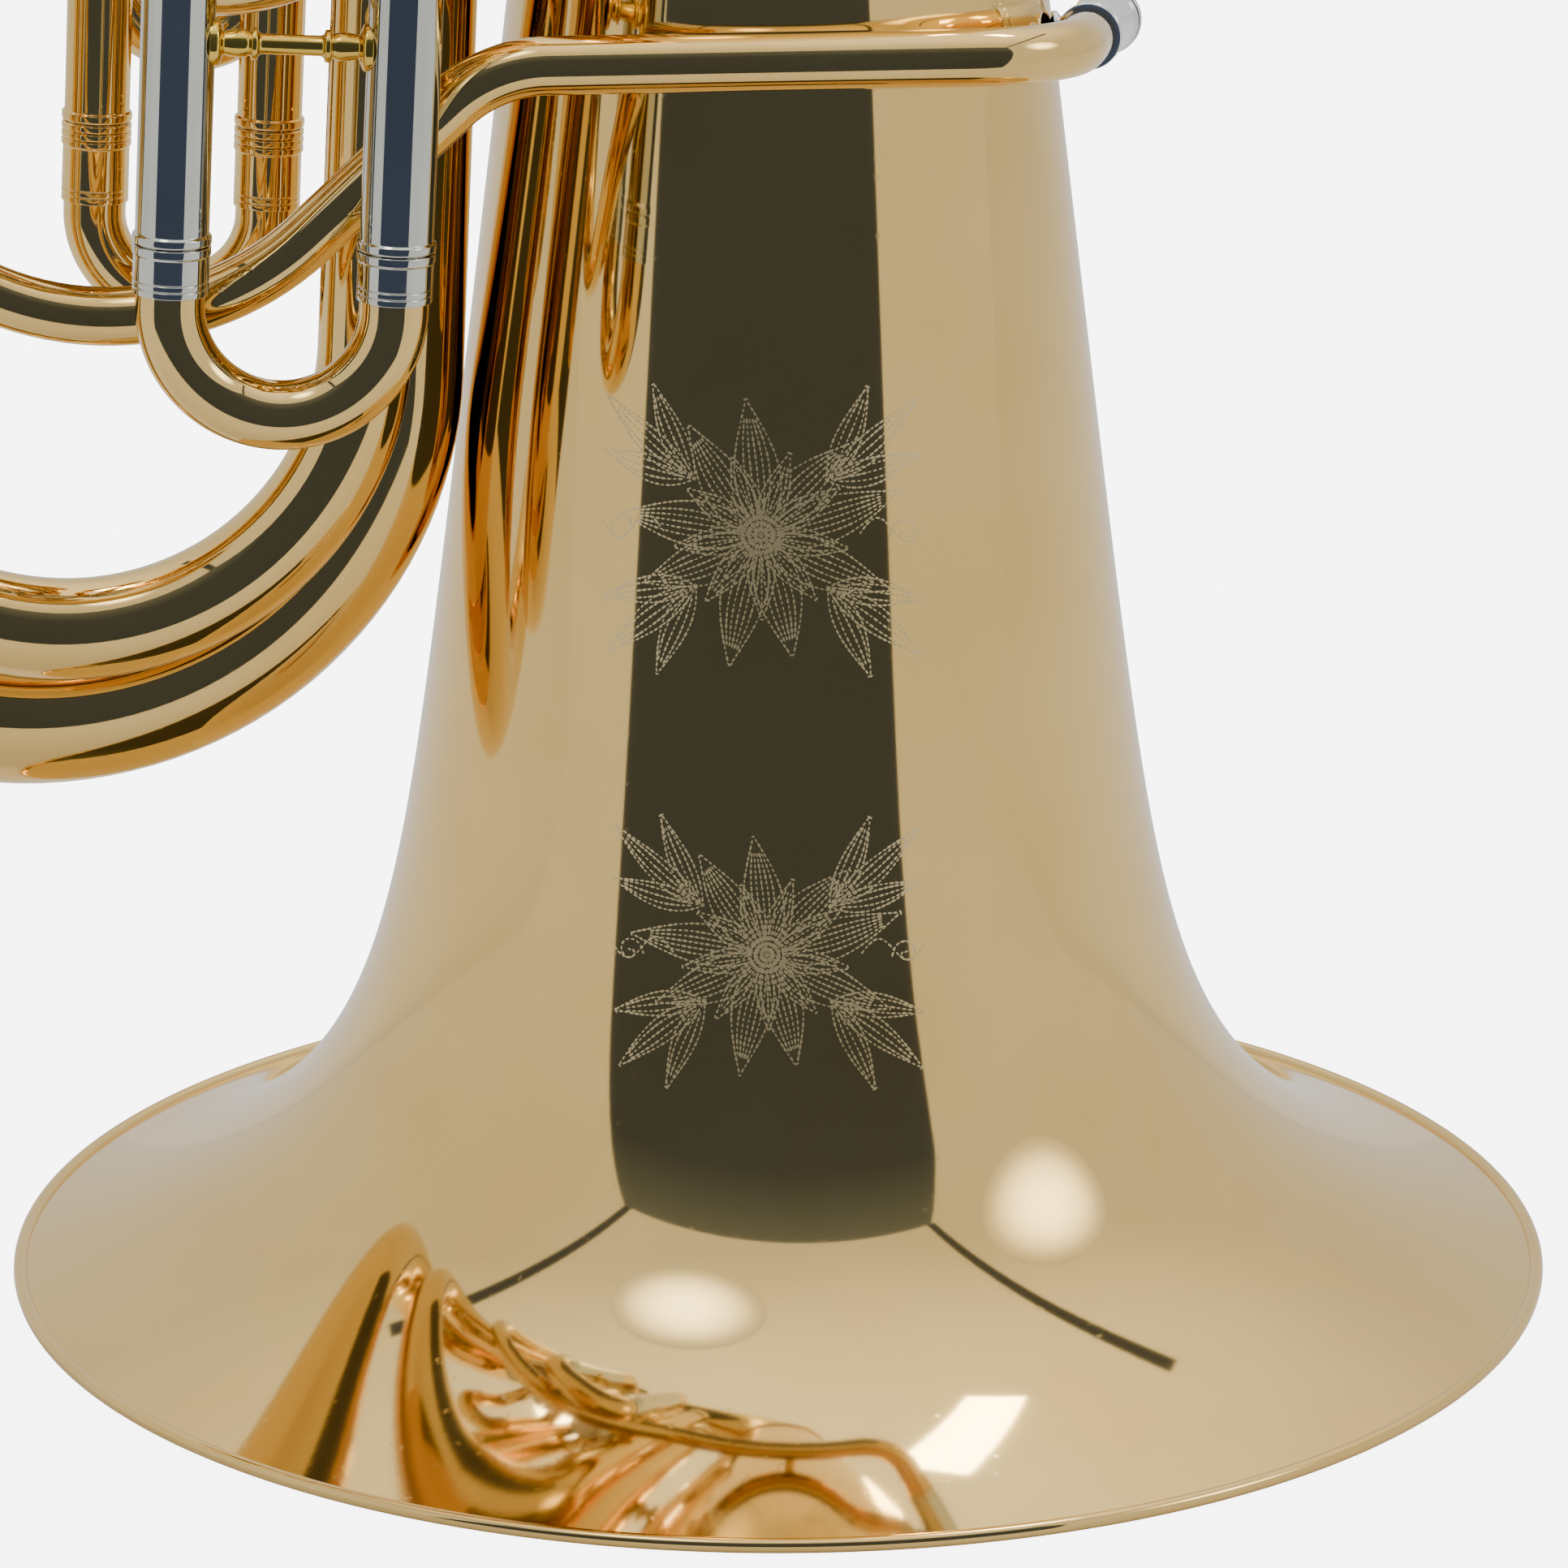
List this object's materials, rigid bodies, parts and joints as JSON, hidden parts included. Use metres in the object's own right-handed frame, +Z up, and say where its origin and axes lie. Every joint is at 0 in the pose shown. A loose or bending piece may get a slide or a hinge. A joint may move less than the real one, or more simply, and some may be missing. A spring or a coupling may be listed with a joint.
{
  "type": "baritone horn",
  "caption": "Upright brass horn standing on its wide bell: conical branches and bows, a leadpipe, three piston valves and drawing tuning slides.",
  "frame": {"origin": "centre of the bell mouth, on the plane the rim wire rests on", "axes": "+Z up the bell towards its bottom bow, -Y towards the audience side with the leadpipe and the front slide, -X towards the branches and valves"},
  "size_m": [0.3806, 0.305, 0.6106],
  "materials": {
    "bell_lacquer": "clear lacquer over a spun and polished sheet",
    "lacquered_brass": "polished, clear lacquer",
    "brace_brass": "polished yellow brass",
    "nickel_silver": "polished, slightly worn",
    "silver_plate": "silver plate",
    "monel": "honed",
    "spring_steel": "bare wire",
    "pearl": "pearly, polished",
    "cork": "natural cork"
  },
  "bodies": {
    "horn": {"bell": "bell_lacquer", "rim_wire": "bell_lacquer", "bell_ferrule": "lacquered_brass", "bottom_bow": "lacquered_brass", "bow_guard": "lacquered_brass", "bow_ferrule": "lacquered_brass", "outer_branch": "lacquered_brass", "top_bow": "lacquered_brass", "branch_ferrules": "lacquered_brass", "inner_branch": "lacquered_brass", "tuning_bow": "lacquered_brass", "leadpipe": "lacquered_brass", "receiver": "silver_plate", "valve_casing_1": "lacquered_brass", "valve_casing_2": "lacquered_brass", "valve_casing_3": "lacquered_brass", "top_caps": "nickel_silver", "bottom_caps": "nickel_silver", "knuckles": "lacquered_brass", "valve_spring_1": "spring_steel", "valve_spring_2": "spring_steel", "valve_spring_3": "spring_steel", "third_outer_tubes": "nickel_silver", "main_outer_tubes": "lacquered_brass", "first_outer_tubes": "lacquered_brass", "second_outer_tubes": "lacquered_brass", "third_loop": "lacquered_brass", "third_port_tube": "lacquered_brass", "main_port_tube": "lacquered_brass", "first_port_tubes": "lacquered_brass", "second_port_tubes": "lacquered_brass", "slide_brace": "brace_brass", "leg_brace": "brace_brass", "bell_brace": "brace_brass", "receiver_brace": "silver_plate", "leadpipe_brace": "brace_brass", "branch_stays": "brace_brass", "water_key_nipple": "lacquered_brass", "water_key_saddle": "lacquered_brass"},
    "piston_1_set": {"piston_1": "monel", "finger_button_1": "nickel_silver", "pearl_1": "pearl"},
    "piston_2_set": {"piston_2": "monel", "finger_button_2": "nickel_silver", "pearl_2": "pearl"},
    "piston_3_set": {"piston_3": "monel", "finger_button_3": "nickel_silver", "pearl_3": "pearl"},
    "third_slide": {"third_inner_legs": "nickel_silver", "third_slide_ferrules": "nickel_silver", "third_slide_bow": "lacquered_brass"},
    "main_slide": {"main_inner_legs": "nickel_silver", "main_slide_ferrules": "lacquered_brass", "main_slide_bow": "lacquered_brass"},
    "first_slide": {"first_inner_legs": "nickel_silver", "first_slide_bow": "lacquered_brass"},
    "second_slide": {"second_inner_legs": "nickel_silver", "second_slide_bow": "lacquered_brass"},
    "water_key": {"water_key_lever": "lacquered_brass", "water_key_cork": "cork"}
  },
  "joints": [
    {"name": "valve_1_press", "type": "slide", "parent": "horn", "child": "piston_1_set", "axis": [0.0558, 0, 0.9984], "range_m": [0, 0.015], "stiffness_N_per_m": 120, "springref_m": -0.008, "deforming": ["valve_spring_1"]},
    {"name": "valve_2_press", "type": "slide", "parent": "horn", "child": "piston_2_set", "axis": [0.0558, 0, 0.9984], "range_m": [0, 0.015], "stiffness_N_per_m": 120, "springref_m": -0.008, "deforming": ["valve_spring_2"]},
    {"name": "valve_3_press", "type": "slide", "parent": "horn", "child": "piston_3_set", "axis": [0.0558, 0, 0.9984], "range_m": [0, 0.015], "stiffness_N_per_m": 120, "springref_m": -0.008, "deforming": ["valve_spring_3"]},
    {"name": "third_slide_draw", "type": "slide", "parent": "horn", "child": "third_slide", "axis": [-0.0558, 0, -0.9984], "range_m": [0, 0.045]},
    {"name": "main_slide_draw", "type": "slide", "parent": "horn", "child": "main_slide", "axis": [-0.0558, 0, -0.9984], "range_m": [0, 0.035]},
    {"name": "first_slide_draw", "type": "slide", "parent": "horn", "child": "first_slide", "axis": [-0.0558, 0, -0.9984], "range_m": [0, 0.035]},
    {"name": "second_slide_draw", "type": "slide", "parent": "horn", "child": "second_slide", "axis": [-0.0558, 0, -0.9984], "range_m": [0, 0.03]},
    {"name": "water_key_lift", "type": "hinge", "parent": "horn", "child": "water_key", "pos_m": [-0.10211, -0.01844, 0.54064], "axis": [-0.2126, 0.9771, 0.0119], "range_deg": [0, 15], "stiffness_Nm_per_rad": 0.03, "springref_deg": -17.19}
  ]
}
